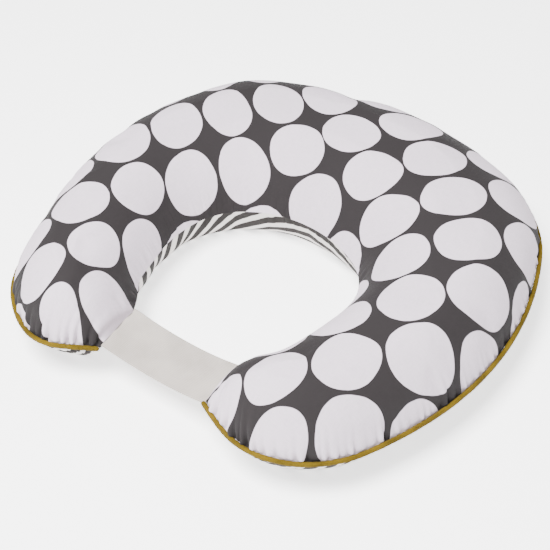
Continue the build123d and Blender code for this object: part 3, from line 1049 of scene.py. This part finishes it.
def make_coil(name, side):
    """One row of the nylon coil: a turn of wire every tooth, sewn along the tape's edge."""
    spacing = math.degrees(COIL_PITCH / ZIP_RADIUS)
    count = int(2 * ZIP_HALF_ANGLE / spacing)
    starts = (np.arange(count) - (count - 1) / 2) * spacing + side * spacing / 4
    turn = resample(np.array(COIL_TURN), np.linspace(0, 1, COIL_RINGS))
    lean = np.linspace(-COIL_LEAN, COIL_LEAN, COIL_RINGS) * spacing
    from_end = np.minimum(np.arange(COIL_RINGS), np.arange(COIL_RINGS)[::-1])
    radii = COIL_WIRE * np.clip(from_end + 0.45, 0, 1)
    pieces, faces = [], []
    for start in starts:
        row = wall_places(start + lean, side * turn[:, 0], turn[:, 1])
        steps = np.gradient(row, axis=0)
        steps /= norm(steps, axis=1, keepdims=True)
        sideways = np.array([math.cos(math.radians(start)), -math.sin(math.radians(start)), 0])
        first = sideways - (steps @ sideways)[:, None] * steps
        first /= norm(first, axis=1, keepdims=True)
        second = np.cross(steps, first)
        faces += wire_faces(len(pieces), COIL_RINGS)
        pieces.append(wire_places(row, first, second, radii))
    return mesh_object(name, np.concatenate(pieces), faces)


def make_stitches(name, runs):
    """Short thread stitches, one capsule each, along runs of (places, outward normals)."""
    share = np.linspace(-1, 1, STITCH_RINGS)
    bow = STITCH_RADIUS * (0.6 - 0.9 * share**2)
    radii = STITCH_RADIUS * np.sqrt(1.04 - share**2 * 0.95)
    pieces, faces = [], []
    for line, outward in runs:
        length = norm(np.diff(line, axis=0), axis=1).sum()
        count = int(length / STITCH_PITCH)
        centres = resample(line, (np.arange(count) + 0.5) / count)
        outs = resample(outward, (np.arange(count) + 0.5) / count)
        ahead = np.gradient(centres, axis=0)
        ahead /= norm(ahead, axis=1, keepdims=True)
        for centre, out, forward in zip(centres, outs, ahead):
            middle = centre + share[:, None] * forward * STITCH_LENGTH / 2 + bow[:, None] * out
            faces += wire_faces(len(pieces), STITCH_RINGS)
            pieces.append(wire_places(middle, np.cross(forward, out), out, radii))
    piece = mesh_object(name, np.concatenate(pieces), faces)
    turn_faces_out(piece)
    return piece


def make_label():
    """The blank care label: a folded satin tab that hangs from the seam and curls out a little."""
    half = LABEL_WIDTH / 2 / ZIP_RADIUS
    u, v = np.meshgrid(np.linspace(-1, 1, 25), np.linspace(0, 1, 45), indexing="ij")
    angle = -LABEL_ANGLE + u * math.degrees(half)
    w = LABEL_TOP_W + (LABEL_BOTTOM_W - LABEL_TOP_W) * v
    n = LABEL_N + LABEL_CURL * v**2 + LABEL_TWIST * np.sin(u * 2.4 + 0.6) * v
    hem_start, hem_end, hem_height = LABEL_HEM
    hem = hem_height * (smooth_step(hem_start, hem_end, v) - 0.5)
    middle = wall_places(angle, w, n + hem)
    return slab("blank_label", middle, u * LABEL_WIDTH / 2, grid_normals(middle), LABEL_THICKNESS, w)


panels, bags, seam_line = make_cushion()
top_cover, base_cover = panels
for panel, node, strength, side, material, slot in (
    (top_cover, "top_panel", 1.0, 1, pebble_print(), "pebble_print"),
    (base_cover, "base_panel", 0.8, -1, stripe_print(), "stripe_print"),
):
    gather(panel, strength, side)
    finish(panel, material)
    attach(panel, "pillow")
    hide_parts(node)
open_zip_window(base_cover)

liner_bag, stuffing = bags
finish(liner_bag, loose_fibre("liner_cotton", "d8d6d0", "e6e4de", 160.0, 0.0003))
finish(stuffing, loose_fibre("stuffing", "dedcd8", "f0efec", 60.0, 0.002))
for bag, nodes in ((liner_bag, ("liner_top", "liner_base")), (stuffing, ("filling",))):
    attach(bag, "pillow")
    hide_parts(*nodes)

piping_girth = math.tau * PIPING_RADIUS
piping = make_piping(seam_line)
finish(piping, twill("piping_twill", "272003", "67530b", 0.0013, piping_girth))
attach(piping, "pillow")
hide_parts("piping_cover", "piping_cord")

band = make_band()
finish(band, woven_strip("cream_elastic", "8f8780", "b0a8a0", 0.0020, 0.0012))
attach(band, "pillow")
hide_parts("elastic_band")

tape_material = woven_strip("zip_tape", "37322f", "5c5553", 0.0011, 0.0008)
coil_material = moulded("zip_coil", "2c2827", "4c4644", 300.0, 0.42)
for end, side in (("upper", 1), ("lower", -1)):
    tape = make_tape("tape_" + end, side)
    finish(tape, tape_material)
    coil = make_coil("coil_" + end, side)
    finish(coil, coil_material)
    for piece, node in ((tape, "zip_tape_" + end), (coil, "zip_coil_" + end)):
        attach(piece, "pillow")
        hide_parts(node)

runs = []
sides = [(np.linspace(-STITCHED_ANGLE, STITCHED_ANGLE, 200), w) for w in (-STITCHED_W, STITCHED_W)]
end_w = np.linspace(-STITCHED_END_W, STITCHED_END_W, 20)
for angle, w in (*sides, (-STITCHED_ANGLE, end_w), (STITCHED_ANGLE, end_w)):
    on_cloth = wall_places(angle, w, ZIP_FOLD_N)
    runs.append((on_cloth, wall_places(angle, w, ZIP_FOLD_N + 1.0) - on_cloth))
stitching = make_stitches("zip_stitching", runs)
finish(stitching, loose_fibre("thread", "a8a4a0", "c8c4c0", 900.0, 0.00005))
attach(stitching, "pillow")

label = make_label()
satin = woven_strip("label_satin", "d6d4d0", "efeeeb", 0.0005, 0.0004, 0.00004, 0.45)
finish(label, satin)
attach(label, "pillow")
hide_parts("care_label")

metal = moulded("zip_metal", "2b2726", "575150", 260.0, 0.34, metallic=0.6)
stops = moulded("stop_metal", "9a9a9c", "b8b8bc", 260.0, 0.3, metallic=1.0)
for node, material in (("zip_slider", metal), ("zip_puller", metal), ("zip_end_stops", stops)):
    for slot_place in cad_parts[node].material_slots:
        slot_place.material = material

# Floor, light and camera. Lights are (name, place, size, power). The camera's angles are in degrees and
# its lens in millimetres, and it aims so far right of and above the pillow's middle, in metres.
FLOOR_REACH = 9
FLOOR_GLOW = 1.8
WORLD_LIGHT = 0.45
LIGHTS = (
    ("key", (-0.1, -0.9, 2.2), 1.0, 222.0),
    ("fill", (1.6, 1.2, 1.8), 1.6, 12.0),
    ("behind", (-0.4, 2.4, 2.0), 2.0, 12.0),
)
LIGHTS_AIM = (0, 0, 0.05)
CAMERA_AZIMUTH = 35.6
CAMERA_ELEVATION = 43.9
CAMERA_DISTANCE = 1.595
CAMERA_LENS = 87.9
CAMERA_AIM = (-0.0136, -0.0427)

corners = [(x * FLOOR_REACH, y * FLOOR_REACH, 0) for x, y in ((-1, -1), (1, -1), (1, 1), (-1, 1))]
floor = mesh_object("floor", corners, [(0, 1, 2, 3)])
floor_material, floor_tree, floor_shader = new_material("floor", 0.9)
grain = unevenness(floor_tree, object_place(floor_tree), 3.0)
colour_by(floor_tree, floor_shader, grain, "f6f6f6", "fafafa")
floor_shader.inputs["Emission Color"].default_value = (1, 1, 1, 1)
floor_shader.inputs["Emission Strength"].default_value = FLOOR_GLOW
floor.data.materials.append(floor_material)

world = bpy.data.worlds.new("studio")
bpy.context.scene.world = world
world.use_nodes = True
world.node_tree.nodes["Background"].inputs["Color"].default_value = (1, 1, 1, 1)
world.node_tree.nodes["Background"].inputs["Strength"].default_value = WORLD_LIGHT
for name, place, size, power in LIGHTS:
    lamp = add_object(name, bpy.data.lights.new(name, "AREA"))
    lamp.data.size = size
    lamp.data.energy = power
    lamp.location = place
    lamp.rotation_euler = (Vector(LIGHTS_AIM) - Vector(place)).to_track_quat("-Z", "Y").to_euler()

azimuth, elevation = math.radians(CAMERA_AZIMUTH), math.radians(CAMERA_ELEVATION)
flat = math.cos(elevation)
backwards = Vector((math.sin(azimuth) * flat, -math.cos(azimuth) * flat, math.sin(elevation)))
rightwards = Vector((math.cos(azimuth), math.sin(azimuth), 0))
upwards = backwards.cross(rightwards)
aim = Vector((0, 0, CREST_Z / 2)) + rightwards * CAMERA_AIM[0] + upwards * CAMERA_AIM[1]
camera = add_object("camera", bpy.data.cameras.new("camera"))
camera.location = aim + backwards * CAMERA_DISTANCE
camera.rotation_euler = backwards.to_track_quat("Z", "Y").to_euler()
camera.data.lens = CAMERA_LENS
bpy.context.scene.camera = camera
